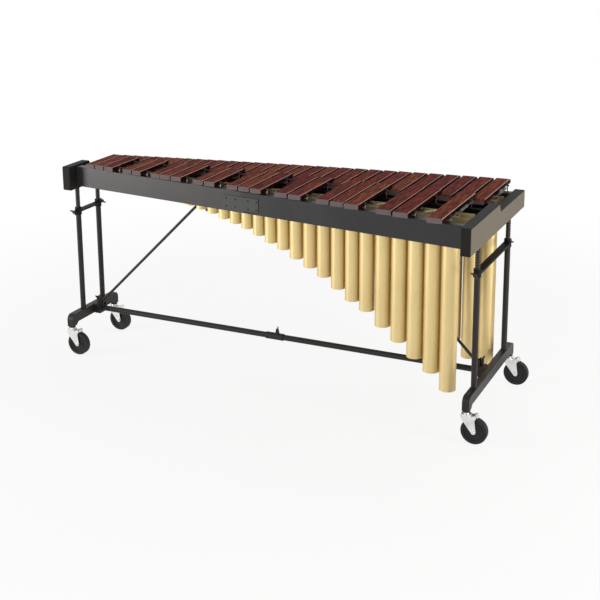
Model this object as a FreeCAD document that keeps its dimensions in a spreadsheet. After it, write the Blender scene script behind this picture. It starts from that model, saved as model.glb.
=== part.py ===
import FreeCAD, Part
import math
import os
import re
import Sketcher
from FreeCAD import Placement, Rotation, Vector

# A four-and-a-third octave bar percussion instrument on a wheeled stand.
# +X runs from the short (high) bars to the long (low) bars, -Y is the side of the raised bars,
# +Z is up and z = 0 is the floor. The origin is the bottom centre of the whole instrument's box.

os.makedirs("parts", exist_ok=True)
doc = FreeCAD.newDocument("bar_instrument")
sheet = doc.addObject("Spreadsheet::Sheet", "Sizes")

SIZES = {
    # stand
    "leg_x_high": -1031.5, "leg_x_low": 966.5, "stand_y": -25,
    "leg_half_high": 82, "leg_half_low": 225, "stem_half_high": 179, "stem_half_low": 320,
    "leg_radius": 12.5, "leg_wall": 1.5, "leg_top": 700, "post_radius": 10.6, "post_bottom": 560,
    "clamp_height": 683, "collar_radius": 16, "collar_height": 34, "link_width": 32, "link_thick": 8,
    "beam_top": 195, "beam_depth": 44, "beam_width": 30, "beam_round": 26,
    "spigot_radius": 16, "spigot_bottom": 131, "stem_bore": 5.5, "stem_bore_depth": 42,
    # casters
    "wheel_radius": 55, "wheel_width": 28, "trail": 35, "axle_radius": 4, "running_gap": 0.05,
    "fork_plate": 3, "fork_inside": 16, "fork_top": 118,
    # lower crossbar and diagonal braces
    "bar_z": 177, "bar_radius": 13, "bar_wall": 2, "bar_joint_x": -39.5, "sleeve_length": 86,
    "sleeve_radius": 16, "bracket_length": 40, "bracket_width": 44, "bracket_height": 46,
    "brace_radius": 6.5, "brace_foot_x": 58, "brace_foot_z": 214, "brace_top_z": 812,
    "brace_top_high": -376.5, "brace_top_low": 311.5, "brace_top_y": -4.5,
    # top frame
    "block_inner_high": -1013.5, "block_inner_low": 946.5, "block_thick": 43, "block_top": 912,
    "block_bottom": 799, "block_step": 34, "step_y": -25, "step_run": 15,
    "block_front_high": -184, "block_front_low": -426.5, "block_rear_high": 165, "block_rear_low": 375,
    "rail_thick": 38, "front_rail_high": -130, "front_rail_low": -376, "rear_rail_high": 138,
    "rear_rail_low": 352, "rail_top_front": 905, "rail_top_rear": 871, "rail_depth": 94,
    "inner_thick": 24, "inner_depth": 60, "inner_top_front": 895, "joint_x": -87.5,
    "plate_length": 184, "plate_height": 58, "plate_thick": 3, "plate_z": 825,
    # bars
    "bar_top_front": 938, "bar_top_rear": 911, "bar_thick": 21, "bar_edge": 3, "bar_hole": 3.5,
    "raised_rear_y": 30, "natural_front_y": 10, "bevel_run": 20, "bevel_drop": 6,
    # cords, posts and resonators
    "cord_radius": 2, "pin_radius": 2.5, "spring_radius": 6, "cord_bend": 9,
    "tube_top_front": 898, "tube_top_rear": 868, "tube_wall": 1.5, "tube_narrowest": 34.5,
    "tube_widening": 0.0208, "tube_widest": 70, "strip_thick": 3, "strip_height": 40, "strip_drop": 38, "strip_end_gap": 18, "quarter_wave": 86000, "up_travel": 68,
}
for row, (alias, value) in enumerate(SIZES.items(), start=1):
    sheet.set(f"A{row}", alias)
    sheet.set(f"B{row}", str(value))
    sheet.setAlias(f"B{row}", alias)
doc.recompute()


def size(alias):
    """The value of one cell of the sheet."""
    return float(getattr(sheet, alias))


def value(expression):
    """What an expression on the sheet's aliases comes to."""
    result = sheet.evalExpression(str(expression))
    return float(result.Value if hasattr(result, "Value") else result)


def bind(thing, prop, expression):
    """Ties one property to the sheet. Names in the expression are the sheet's aliases."""
    thing.setExpression(prop, re.sub(rf"\b({'|'.join(SIZES)})\b", r"Sizes.\1", str(expression)))


def place(thing, x="0", y="0", z="0", axis=None, angle=0):
    """Puts an object at a place whose coordinates are tied to the sheet."""
    if axis is not None:
        thing.Placement = Placement(Vector(), Rotation(Vector(*axis), angle))
    for letter, expression in zip("xyz", (x, y, z)):
        bind(thing, f"Placement.Base.{letter}", expression)
    return thing


# ---------------------------------------------------------------- building blocks

outputs = {}


def keep(node, thing):
    """Makes an object one of the instrument's named pieces."""
    thing.Label = node
    outputs[node] = thing
    return thing


def box(name, length, width, height, x, y, z):
    made = doc.addObject("Part::Box", name)
    for prop, expression in zip(("Length", "Width", "Height"), (length, width, height)):
        bind(made, prop, expression)
    return place(made, x, y, z)


TURN = {"x": ((0, 1, 0), 90), "y": ((1, 0, 0), -90), "z": ((0, 0, 1), 0)}


def rod(name, radius, length, along, x, y, z):
    """A cylinder that starts at (x, y, z) and runs along +x, +y or +z."""
    made = doc.addObject("Part::Cylinder", name)
    bind(made, "Radius", radius)
    bind(made, "Height", length)
    axis, angle = TURN[along]
    return place(made, x, y, z, axis, angle)


def fuse(name, pieces):
    made = doc.addObject("Part::MultiFuse", name)
    made.Shapes = pieces
    made.Refine = True
    return made


def cut(name, base, tools):
    made = doc.addObject("Part::Cut", name)
    made.Base = base
    made.Tool = tools[0] if len(tools) == 1 else fuse(name + "_tools", tools)
    return made


def group(name, pieces):
    """Like pieces that share one node, each still a solid of its own."""
    made = doc.addObject("Part::Compound", name)
    made.Links = pieces
    return made


def prism(name, plane, corners, start, length, round_edges=None):
    """A body padded from a closed outline on one of its own origin planes.

    Each corner is a pair of expressions on the sheet. round_edges holds a radius and a test that
    picks the edges to round."""
    body = doc.addObject("PartDesign::Body", name)
    datum = [f for f in body.Origin.OriginFeatures if f.Role == plane][0]
    sketch = body.newObject("Sketcher::SketchObject", name + "_outline")
    sketch.AttachmentSupport = [(datum, "")]
    sketch.MapMode = "FlatFace"
    bind(sketch, "AttachmentOffset.Base.z", start)
    points = [Vector(value(u), value(v), 0) for u, v in corners]
    for first, second in zip(points, points[1:] + points[:1]):
        sketch.addGeometry(Part.LineSegment(first, second), False)
    count = len(points)
    for index in range(count):
        sketch.addConstraint(Sketcher.Constraint("Coincident", index, 2, (index + 1) % count, 1))
    for index, (u, v) in enumerate(corners):
        for kind, expression, at in (("DistanceX", u, points[index].x), ("DistanceY", v, points[index].y)):
            number = sketch.addConstraint(Sketcher.Constraint(kind, -1, 1, index, 1, at))
            bind(sketch, f"Constraints[{number}]", expression)
    pad = body.newObject("PartDesign::Pad", name + "_pad")
    pad.Profile = sketch
    bind(pad, "Length", length)
    sketch.Visibility = False
    if round_edges:
        doc.recompute()
        radius, wanted = round_edges
        names = [f"Edge{n}" for n, e in enumerate(pad.Shape.Edges, start=1) if wanted(e)]
        fillet = body.newObject("PartDesign::Fillet", name + "_fillet")
        fillet.Base = (pad, names)
        bind(fillet, "Radius", radius)
    return body


def feature(name, shape):
    """A piece whose shape is worked out below from the sheet's sizes."""
    made = doc.addObject("Part::Feature", name)
    made.Shape = shape
    return made


def is_upright(edge):
    first, last = edge.Vertexes[0].Point, edge.Vertexes[-1].Point
    return abs(first.x - last.x) < 0.01 and abs(first.y - last.y) < 0.01


def runs_along_x(edge):
    first, last = edge.Vertexes[0].Point, edge.Vertexes[-1].Point
    return abs(first.y - last.y) < 0.01 and abs(first.z - last.z) < 0.01


ENDS = ("high", "low")
SIDES = {"front": "-", "rear": "+"}
INWARD = {"high": 1, "low": -1}

# ---------------------------------------------------------------- stand ends


def base_beam(end):
    """Rectangular beam with rounded shoulders, ending in the two round caster spigots."""
    reach = f"(stem_half_{end} + spigot_radius)"
    inside = f"(stem_half_{end} - spigot_radius)"
    bottom = "(beam_top - beam_depth)"
    corners = [
        (f"-{reach}", "spigot_bottom + 6"), (f"-{inside}", "spigot_bottom + 6"),
        (f"-({inside} - 16)", bottom), (f"{inside} - 16", bottom),
        (inside, "spigot_bottom + 6"), (reach, "spigot_bottom + 6"),
        (reach, "beam_top"), (f"-{reach}", "beam_top"),
    ]
    top = size("beam_top")
    shoulder = prism(
        f"beam_{end}_bar", "YZ_Plane", corners, "-beam_width / 2", "beam_width",
        ("beam_round", lambda e: runs_along_x(e) and abs(e.Vertexes[0].Z - top) < 0.01))
    spigots = [
        rod(f"spigot_{end}_{side}", "spigot_radius", "34", "z", "0", f"{sign}stem_half_{end}", "spigot_bottom")
        for side, sign in SIDES.items()]
    bores = [
        rod(f"stem_bore_{end}_{side}", "stem_bore", "stem_bore_depth + 1", "z", "0",
            f"{sign}stem_half_{end}", "spigot_bottom - 1")
        for side, sign in SIDES.items()]
    made = cut(f"base_beam_{end}", fuse(f"beam_{end}_solid", [shoulder] + spigots), bores)
    place(made, f"leg_x_{end}", "stand_y")
    keep(f"base_beam_{end}", made)


def leg_pair(end):
    """Two upright tubes that stand on the base beam; the height posts slide inside them."""
    tubes = []
    for side, sign in SIDES.items():
        across = f"stand_y {sign} leg_half_{end}"
        outer = rod(f"leg_{end}_{side}_outer", "leg_radius", "leg_top - beam_top", "z",
                    f"leg_x_{end}", across, "beam_top")
        inner = rod(f"leg_{end}_{side}_inner", "leg_radius - leg_wall", "leg_top - beam_top - 4", "z",
                    f"leg_x_{end}", across, "beam_top + 5")
        hole = rod(f"leg_{end}_{side}_screw_hole", "4.5", "14", "y", f"leg_x_{end}",
                   f"{across} - 7 {sign} 12", "clamp_height")
        tubes.append(cut(f"leg_{end}_{side}", outer, [inner, hole]))
    keep(f"leg_tubes_{end}", group(f"leg_tubes_{end}", tubes))


def cross_link(end):
    """Flat strip between the two legs, with a clamp collar and a screw boss at each leg."""
    x = f"leg_x_{end}"
    strip = box(f"link_{end}_strip", "link_width", f"2 * leg_half_{end}", "link_thick",
                f"{x} - link_width / 2", f"stand_y - leg_half_{end}", "clamp_height - link_thick / 2")
    solids, holes = [strip], []
    for side, sign in SIDES.items():
        across = f"stand_y {sign} leg_half_{end}"
        solids.append(rod(f"link_{end}_{side}_collar", "collar_radius", "collar_height", "z", x, across,
                          "clamp_height - collar_height / 2"))
        solids.append(rod(f"link_{end}_{side}_boss", "8", "28", "y", x, f"{across} - 14 {sign} 14",
                          "clamp_height"))
        holes.append(rod(f"link_{end}_{side}_bore", "leg_radius", "collar_height + 2", "z", x, across,
                         "clamp_height - collar_height / 2 - 1"))
        holes.append(rod(f"link_{end}_{side}_thread", "4 + running_gap", "24", "y", x,
                         f"{across} - 12 {sign} 20", "clamp_height"))
    keep(f"cross_link_{end}", cut(f"cross_link_{end}", fuse(f"link_{end}_solid", solids), holes))


def wing_screw(node, x, y, z, up, shank, pose, neck=0):
    """Screw with a round hub and two wings, made pointing along +z and then turned to its place."""
    thread = rod(node + "_shank", "4", f"{shank} + 1", "z", "0", "0", f"-{shank}")
    hub = rod(node + "_hub", "7", f"{neck} + 11", "z", "0", "0", "0.3")
    outline = [(-18, 15), (-15, 18), (-5, 10), (5, 10), (15, 18), (18, 15), (8, 2), (-8, 2)]
    blade = prism(node + "_wings", "XZ_Plane", [(f"{u}", f"{v + neck}") for u, v in outline], "-2.25", "4.5")
    made = fuse(node, [thread, hub, blade])
    rotation = Rotation(Vector(0, 0, 1), Vector(*up)).multiply(Rotation(Vector(0, 0, 1), pose))
    made.Placement = Placement(Vector(), rotation)
    place(made, x, y, z)
    keep(node, made)


def height_posts(end):
    """Two ringed posts fixed in the end block; they slide in the legs and set the height."""
    pitch, depth = 11.0, 1.5
    posts = []
    bottom, top = size("post_bottom"), size("block_bottom") + 68
    radius = size("post_radius")
    outline = [Vector(0, 0, bottom), Vector(radius - depth, 0, bottom), Vector(radius, 0, bottom + depth)]
    level = bottom + 12
    while level < size("block_bottom") - 12:
        outline += [Vector(radius, 0, level), Vector(radius - depth, 0, level + 1.2),
                    Vector(radius - depth, 0, level + 4.2), Vector(radius, 0, level + 5.4)]
        level += pitch
    outline += [Vector(radius, 0, top), Vector(0, 0, top)]
    for side, sign in SIDES.items():
        wire = Part.makePolygon(outline + outline[:1])
        turned = Part.Face(wire).revolve(Vector(), Vector(0, 0, 1), 360)
        turned.translate(Vector(size(f"leg_x_{end}"), value(f"stand_y {sign} leg_half_{end}"), 0))
        posts.append(feature(f"post_{end}_{side}", turned))
    keep(f"height_posts_{end}", group(f"height_posts_{end}", posts))


for end in ENDS:
    base_beam(end)
    leg_pair(end)
    cross_link(end)
    height_posts(end)
    for side, sign in SIDES.items():
        outward = -1 if side == "front" else 1
        wing_screw(f"clamp_screw_{end}_{side}", f"leg_x_{end}", f"stand_y {sign} (leg_half_{end} + 28.3)",
                   "clamp_height", (0, outward, 0), "15.3", 35 * outward)

# ---------------------------------------------------------------- casters


def caster(end, side, sign):
    """Swivel fork, solid wheel and brake lever, made about the stem's axis and then placed."""
    name = f"{end}_{side}"
    at = (f"leg_x_{end}", f"stand_y {sign} stem_half_{end}", "0")
    plate = [("-19", "fork_top"), ("-16", "104"), ("trail - 9.5", "50.5"), ("trail - 6", "45.5"),
             ("trail", "43.5"), ("trail + 6", "45.5"), ("trail + 9.5", "50.5"), ("trail + 10.3", "57"),
             ("trail + 4", "104"), ("trail + 10", "113"), ("trail + 10", "124"), ("trail", "124"),
             ("trail - 8", "fork_top")]
    cheeks = [
        prism(f"cheek_{name}_a", "XZ_Plane", plate, "fork_inside", "fork_plate"),
        prism(f"cheek_{name}_b", "XZ_Plane", plate, "-fork_inside - fork_plate", "fork_plate")]
    bridge = box(f"bridge_{name}", "46", "2 * (fork_inside + fork_plate)", "fork_plate + 2", "-19",
                 "-(fork_inside + fork_plate)", "fork_top - fork_plate - 2")
    race = rod(f"race_{name}", "21", "8", "z", "0", "0", "fork_top - 2")
    cap = rod(f"race_cap_{name}", "12", "12.5", "z", "0", "0", "fork_top")
    stem = rod(f"stem_{name}", "stem_bore - running_gap", "stem_bore_depth + 10", "z", "0", "0", "fork_top + 2")
    fork = fuse(f"fork_solid_{name}", cheeks + [bridge, race, cap, stem])
    pins = [rod(f"axle_hole_{name}", "axle_radius", "60", "y", "trail", "-30", "wheel_radius"),
            rod(f"lever_hole_{name}", "2.5 + running_gap", "60", "y", "trail + 5", "-30", "119")]
    fork = cut(f"fork_{name}", fork, pins)
    head = "fork_inside + fork_plate + 0.1"
    axle = fuse(f"axle_{name}", [
        rod(f"axle_pin_{name}", "axle_radius", f"2 * ({head})", "y", "trail", f"-({head})", "wheel_radius"),
        rod(f"axle_head_{name}", "7", "4", "y", "trail", f"-({head}) - 3.9", "wheel_radius"),
        rod(f"axle_nut_{name}", "7", "5", "y", "trail", head, "wheel_radius")])
    pair = group(f"caster_fork_{name}", [fork, axle])
    keep(f"caster_fork_{name}", place(pair, *at))
    tyre = rod(f"tyre_{name}", "wheel_radius", "wheel_width", "y", "trail", "-wheel_width / 2", "wheel_radius")
    tread = doc.addObject("Part::Fillet", f"tread_{name}")
    tread.Base = tyre
    doc.recompute()
    rims = [n for n, e in enumerate(tyre.Shape.Edges, start=1) if len(e.Vertexes) == 1]
    tread.Edges = [(n, 4.0, 4.0) for n in rims]
    bore = rod(f"wheel_bore_{name}", "axle_radius + running_gap", "60", "y", "trail", "-30", "wheel_radius")
    dishes = [
        rod(f"dish_{name}_{n}", "wheel_radius - 14", "4", "y", "trail", y, "wheel_radius")
        for n, y in (("a", "-wheel_width / 2 - 1"), ("b", "wheel_width / 2 - 3"))]
    wheel = cut(f"caster_wheel_{name}", tread, [bore] + dishes)
    keep(f"caster_wheel_{name}", place(wheel, *at))
    blade = prism(f"lever_blade_{name}", "XZ_Plane",
                  [("trail - 3", "117"), ("trail", "122"), ("trail + 9", "122.5"),
                   ("trail + 17", "116.5"), ("trail + 16", "113.5"), ("trail + 6", "114.8")],
                  "-(fork_inside - 3)", "2 * (fork_inside - 3)")
    pin = rod(f"lever_pin_{name}", "2.5", "2 * (fork_inside + fork_plate)", "y", "trail + 5",
              "-(fork_inside + fork_plate)", "119")
    barrel = rod(f"lever_barrel_{name}", "4.5", "2 * (fork_inside - 0.5)", "y", "trail + 5",
                 "-(fork_inside - 0.5)", "119")
    lever = fuse(f"brake_lever_{name}", [blade, pin, barrel])
    keep(f"brake_lever_{name}", place(lever, *at))


for end in ENDS:
    for side, sign in SIDES.items():
        caster(end, side, sign)

# ---------------------------------------------------------------- lower crossbar and braces

for end in ENDS:
    turn = INWARD[end]
    face = f"leg_x_{end} + {turn} * beam_width / 2"
    length = f"abs(bar_joint_x - ({face}))"
    start = face if end == "high" else "bar_joint_x"
    tube = rod(f"crossbar_{end}_outer", "bar_radius", length, "x", start, "stand_y", "bar_z")
    hollow = rod(f"crossbar_{end}_inner", "bar_radius - bar_wall", f"{length} + 2", "x", f"{start} - 1",
                 "stand_y", "bar_z")
    keep(f"crossbar_{end}", cut(f"crossbar_{end}", tube, [hollow]))

sleeve_start = "bar_joint_x - sleeve_length / 2"
sleeve = fuse("sleeve_solid", [
    rod("sleeve_outer", "sleeve_radius", "sleeve_length", "x", sleeve_start, "stand_y", "bar_z"),
    rod("sleeve_boss", "9", "24", "z", "bar_joint_x + 12", "stand_y", "bar_z")])
sleeve_cuts = [
    rod("sleeve_bore", "bar_radius", "sleeve_length + 2", "x", f"{sleeve_start} - 1", "stand_y", "bar_z"),
    rod("sleeve_thread", "4 + running_gap", "30", "z", "bar_joint_x + 12", "stand_y", "bar_z")]
keep("crossbar_sleeve", cut("crossbar_sleeve", sleeve, sleeve_cuts))
wing_screw("sleeve_screw", "bar_joint_x + 12", "stand_y", "bar_z + 24.3", (0, 0, 1), "10", 105)

brackets, braces, bolts = [], [], []
for end in ENDS:
    turn = INWARD[end]
    near = f"leg_x_{end} + {turn} * beam_width / 2"
    start = near if end == "high" else f"{near} - bracket_length"
    foot_x = f"leg_x_{end} + {turn} * brace_foot_x"
    body = box(f"bracket_{end}_body", "bracket_length", "bracket_width", "bracket_height", start,
               "stand_y - bracket_width / 2", "bar_z - bracket_height / 2")
    screw_x = f"leg_x_{end} + {turn} * 31"
    ears = [
        box(f"bracket_{end}_ear_{n}", "30", "5", "34", f"{foot_x} - {15 + 4 * turn}", y, "bar_z + 13")
        for n, y in (("a", "stand_y - 13.3"), ("b", "stand_y + 8.3"))]
    holes = [
        rod(f"bracket_{end}_bore", "bar_radius", "bracket_length + 4", "x", f"{start} - 2", "stand_y", "bar_z"),
        rod(f"bracket_{end}_thread", "4 + running_gap", "40", "z", screw_x, "stand_y", "bar_z"),
        rod(f"bracket_{end}_bolt_hole", "4", "32", "y", foot_x, "stand_y - 16", "brace_foot_z")]
    brackets.append(cut(f"bracket_{end}", fuse(f"bracket_{end}_solid", [body] + ears), holes))
    wing_screw(f"bracket_screw_{end}", screw_x, "stand_y", "bar_z + bracket_height / 2 + 0.3", (0, 0, 1),
               "9", 75, 22)
    foot = Vector(value(foot_x), value("stand_y"), size("brace_foot_z"))
    head = Vector(size(f"brace_top_{end}"), size("brace_top_y"), size("brace_top_z"))
    run = head - foot
    shaft = Part.makeCylinder(size("brace_radius"), run.Length - 16, foot + run * (8 / run.Length), run)
    eyes = []
    for centre, wide in ((foot, 16.0), (head, 14.4)):
        eye = Part.makeCylinder(11, wide, centre - Vector(0, wide / 2, 0), Vector(0, 1, 0))
        bore = Part.makeCylinder(4, wide + 2, centre - Vector(0, wide / 2 + 1, 0), Vector(0, 1, 0))
        eyes.append((eye, bore))
    solid = shaft.fuse([eye for eye, bore in eyes]).cut([bore for eye, bore in eyes]).removeSplitter()
    braces.append(feature(f"brace_{end}", solid))
    low_bolt = Part.makeCylinder(4, 26.2, foot - Vector(0, 13.1, 0), Vector(0, 1, 0))
    low_bolt = low_bolt.fuse([
        Part.makeCylinder(7, 5, foot + Vector(0, 13.3, 0), Vector(0, 1, 0)),
        Part.makeCylinder(7, 5, foot - Vector(0, 18.3, 0), Vector(0, 1, 0)),
        Part.makeCylinder(4, 1, foot + Vector(0, 12.6, 0), Vector(0, 1, 0)),
        Part.makeCylinder(4, 1, foot - Vector(0, 13.6, 0), Vector(0, 1, 0))])
    top_bolt = Part.makeCylinder(4, 27.8, head - Vector(0, 17.8, 0), Vector(0, 1, 0))
    top_bolt = top_bolt.fuse([
        Part.makeCylinder(7, 4, head + Vector(0, 7.2, 0), Vector(0, 1, 0)),
        Part.makeCylinder(8, 5, head - Vector(0, 17.8, 0), Vector(0, 1, 0))])
    bolts += [feature(f"brace_foot_bolt_{end}", low_bolt), feature(f"brace_top_bolt_{end}", top_bolt)]
keep("crossbar_brackets", group("crossbar_brackets", brackets))
keep("diagonal_braces", group("diagonal_braces", braces))
keep("brace_bolts", group("brace_bolts", bolts))

# ---------------------------------------------------------------- top frame


def end_block(end):
    """Side profile with the raised-bar half higher than the natural-bar half."""
    corners = [
        (f"block_front_{end}", "block_bottom"), (f"block_rear_{end}", "block_bottom"),
        (f"block_rear_{end}", "block_top - block_step"), ("step_y + step_run", "block_top - block_step"),
        ("step_y", "block_top"), (f"block_front_{end}", "block_top")]
    start = "block_inner_high - block_thick" if end == "high" else "block_inner_low"
    outer = value("block_inner_high - block_thick" if end == "high" else "block_inner_low + block_thick")

    def rounded(edge):
        on_outer_face = all(abs(corner.X - outer) < 0.01 for corner in edge.Vertexes)
        return on_outer_face or is_upright(edge) or runs_along_x(edge)

    body = prism(f"end_block_{end}_body", "YZ_Plane", corners, start, "block_thick", ("6", rounded))
    sockets = [
        rod(f"post_socket_{end}_{side}", "post_radius", "70", "z", f"leg_x_{end}",
            f"stand_y {sign} leg_half_{end}", "block_bottom - 2")
        for side, sign in SIDES.items()]
    keep(f"end_block_{end}", cut(f"end_block_{end}", body, sockets))


for end in ENDS:
    end_block(end)

SPAN = "(block_inner_low - block_inner_high)"


def along(at_high, at_low, x):
    """Expression for a line that goes from one end block to the other, at x."""
    return f"({at_high} + (({at_low}) - ({at_high})) * (({x}) - block_inner_high) / {SPAN})"


def rail(name, at_high, at_low, thick, top, depth, end):
    """One half of a frame rail: a board between an end block and the joint in the middle."""
    first = "block_inner_high" if end == "high" else "joint_x + 0.2"
    last = "joint_x - 0.2" if end == "high" else "block_inner_low"
    corners = [(first, along(at_high, at_low, first)), (last, along(at_high, at_low, last)),
               (last, along(at_high, at_low, last) + f" + {thick}"),
               (first, along(at_high, at_low, first) + f" + {thick}")]
    return prism(name, "XY_Plane", corners, f"{top} - {depth}", depth,
                 ("2.5", lambda e: not is_upright(e)))


RAISED_INNER = ("-25 - 6 - 12", "-25 - 50 - 12")
NATURAL_INNER = ("-25 + 67 - 12", "-25 + 130 - 12")
inner = []
for end in ENDS:
    keep(f"front_rail_{end}", rail(f"front_rail_{end}", "front_rail_high", "front_rail_low", "rail_thick",
                                   "rail_top_front", "rail_depth", end))
    keep(f"rear_rail_{end}", rail(f"rear_rail_{end}", "(rear_rail_high - rail_thick)",
                                  "(rear_rail_low - rail_thick)", "rail_thick", "rail_top_rear",
                                  "rail_depth", end))
    inner.append(rail(f"raised_inner_rail_{end}", *RAISED_INNER, "inner_thick", "inner_top_front",
                      "inner_depth", end))
    inner.append(rail(f"natural_inner_rail_{end}", *NATURAL_INNER, "inner_thick", "rail_top_rear",
                      "inner_depth", end))
keep("inner_rails", group("inner_rails", inner))


def joint_plate(side):
    """Steel plate over the joint of a rail, with a catch tongue below and eight screws."""
    half = "plate_length / 2"
    top = "plate_z + plate_height"
    corners = [(f"-{half}", "plate_z"), ("-26", "plate_z"), ("-14", "plate_z - 7"), ("2", "plate_z - 12"),
               ("16", "plate_z - 7"), ("26", "plate_z"), (half, "plate_z"), (half, top), (f"-{half}", top)]
    body = prism(f"joint_plate_{side}", "XZ_Plane", corners, "0", "plate_thick",
                 ("0.8", lambda e: abs(e.CenterOfMass.y + size("plate_thick")) < 0.01))
    screws = [
        rod(f"joint_screw_{side}_{column}_{level}", "3.6", "2.4", "y", f"{x}", "-plate_thick - 2.4",
            f"plate_z + {level}")
        for column, x in enumerate((-74, -26, 39, 82)) for level in (9, 44)]
    faces = {"front": ("front_rail_high", "front_rail_low", 0), "rear": ("rear_rail_high", "rear_rail_low", 180)}
    at_high, at_low, turn = faces[side]
    slope = math.degrees(math.atan2(size(at_low) - size(at_high), value(SPAN)))
    made = []
    for thing in (body, group(f"joint_screws_{side}", screws)):
        thing.Placement = Placement(Vector(), Rotation(Vector(0, 0, 1), slope + turn))
        bind(thing, "Placement.Base.x", "joint_x")
        bind(thing, "Placement.Base.y", along(at_high, at_low, "joint_x"))
        made.append(thing)
    return made


plates, screws = zip(*[joint_plate(side) for side in SIDES])
keep("joint_plates", group("joint_plates", list(plates)))
keep("joint_screws", group("joint_screws", list(screws)))

hangers = []
for end in ENDS:
    x = f"brace_top_{end}"
    rail_face = along(*RAISED_INNER, x) + " + inner_thick"
    face_y = value(rail_face)
    plate = box(f"hanger_{end}_plate", "30", "4", "172", f"{x} - 15", "brace_top_y - 11.8", "728")
    foot = box(f"hanger_{end}_foot", "30", f"brace_top_y - 11 - ({face_y})", "22", f"{x} - 15",
               f"{face_y} + 0.6", "870")
    slot = box(f"hanger_{end}_slot", "9", "6", "up_travel + 10", f"{x} - 4.5",
               "brace_top_y - 12.8", "brace_top_z - up_travel - 5")
    hangers.append(cut(f"hanger_{end}", fuse(f"hanger_{end}_solid", [plate, foot]), [slot]))
keep("brace_hangers", group("brace_hangers", hangers))

# ---------------------------------------------------------------- bars
# Both rows are tuned in semitones. Natural bars get wider and further apart towards the low end.

NATURAL_COUNT = 31
LOWEST_NOTE = 45
HIGHEST_NOTE = 96
NATURAL_STEPS = {0, 2, 4, 5, 7, 9, 11}
FIRST_EDGE = -985.0
BAR_SIZES = ((10, 53.0), (10, 59.7), (5, 67.4), (7, 74.2))
PITCHES = [spacing for count, spacing in BAR_SIZES for _ in range(count)]


def natural_edge(index):
    """X of the treble edge of a natural bar, counted from the highest."""
    return FIRST_EDGE + sum(PITCHES[:index])


def pitch(index):
    return PITCHES[index]


def across_from_high(x):
    return x - size("leg_x_high")


def raised_front(x):
    """Front ends of the raised bars lie on a shallow curve."""
    run = across_from_high(x)
    return -(176.5 + 0.083 * run + 0.0000262 * run ** 2)


def natural_rear(x):
    """Rear ends of the natural bars lie on a shallow curve."""
    run = across_from_high(x)
    return 143.0 + 0.190 * run - 0.0000218 * run ** 2


def list_bars():
    """(note, x centre, width, front y, rear y) for every bar, highest first."""
    naturals, raised = [], []
    index = 0
    for note in range(HIGHEST_NOTE, LOWEST_NOTE - 1, -1):
        if note % 12 in NATURAL_STEPS:
            width = 0.81 * pitch(index)
            centre = natural_edge(index) + width / 2
            naturals.append((note, centre, width, size("natural_front_y"), natural_rear(centre)))
            index += 1
        else:
            centre = natural_edge(index) - (16 if index < 20 else 9)
            raised.append((note, centre, 0.845 * pitch(index), raised_front(centre), size("raised_rear_y")))
    return naturals, raised


naturals, raised = list_bars()


def line_y(ends, x):
    """Y on a straight line between two (x, y) points."""
    (x0, y0), (x1, y1) = ends
    return y0 + (y1 - y0) * (x - x0) / (x1 - x0)


def node_lines(bars, front_share, rear_share):
    """Straight cord lines close to where each bar can be held without damping it."""
    first, last = bars[0], bars[-1]
    front = [(b[1], b[3] + front_share * (b[4] - b[3])) for b in (first, last)]
    rear = [(b[1], b[4] - rear_share * (b[4] - b[3])) for b in (first, last)]
    return front, rear


raised_lines = node_lines(raised, 0.22, 0.224)
raised_lines = ([(raised[0][1], -134.0), (raised[-1][1], -337.0)], raised_lines[1])
natural_lines = node_lines(naturals, 0.224, 0.222)


def bar_solid(bar, top, lines, bevel_front):
    """A bar: rounded long edges, bevelled ends, tuning arch below and two cord holes."""
    note, centre, width, front, rear = bar
    thick, edge = size("bar_thick"), size("bar_edge")
    run, drop = size("bevel_run"), size("bevel_drop")
    left, right, low = centre - width / 2, centre + width / 2, top - thick
    corner = edge * (1 - math.sqrt(0.5))
    section = Part.Wire([
        Part.makeLine(Vector(left, front, low), Vector(right, front, low)),
        Part.makeLine(Vector(right, front, low), Vector(right, front, top - edge)),
        Part.Arc(Vector(right, front, top - edge), Vector(right - corner, front, top - corner),
                 Vector(right - edge, front, top)).toShape(),
        Part.makeLine(Vector(right - edge, front, top), Vector(left + edge, front, top)),
        Part.Arc(Vector(left + edge, front, top), Vector(left + corner, front, top - corner),
                 Vector(left, front, top - edge)).toShape(),
        Part.makeLine(Vector(left, front, top - edge), Vector(left, front, low))])
    solid = Part.Face(section).extrude(Vector(0, rear - front, 0))
    length = rear - front
    arch = 0.19 * length
    rise = 2.0 + 3.0 * length / 450
    middle = (front + rear) / 2
    radius = (arch ** 2 + rise ** 2) / (2 * rise)
    tools = [Part.makeCylinder(radius, width + 4, Vector(left - 2, middle, low + rise - radius), Vector(1, 0, 0))]
    ends = [(rear, -1)] + ([(front, 1)] if bevel_front else [])
    for y, inward in ends:
        wedge = Part.makePolygon([
            Vector(left - 2, y + inward * run, top), Vector(left - 2, y - inward * 2, top - drop * (1 + 2 / run)),
            Vector(left - 2, y - inward * 2, top + 2), Vector(left - 2, y + inward * run, top + 2),
            Vector(left - 2, y + inward * run, top)])
        tools.append(Part.Face(wedge).extrude(Vector(width + 4, 0, 0)))
    for ends in lines:
        start = Vector(left - 3, line_y(ends, left - 3), top - thick / 2)
        stop = Vector(right + 3, line_y(ends, right + 3), top - thick / 2)
        tools.append(Part.makeCylinder(size("bar_hole"), (stop - start).Length, start, stop - start))
    return solid.cut(tools)


BAR_GROUPS = {"high": (72, 200), "middle": (60, 71), "low": (0, 59)}
for part_name, (low_note, high_note) in BAR_GROUPS.items():
    for kind, bars, top, lines, bevel in (
            ("raised", raised, size("bar_top_front"), raised_lines, False),
            ("natural", naturals, size("bar_top_rear"), natural_lines, True)):
        solids = [bar_solid(b, top, lines, bevel) for b in bars if low_note <= b[0] <= high_note]
        keep(f"{kind}_bars_{part_name}", feature(f"{kind}_bars_{part_name}", Part.makeCompound(solids)))

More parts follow.
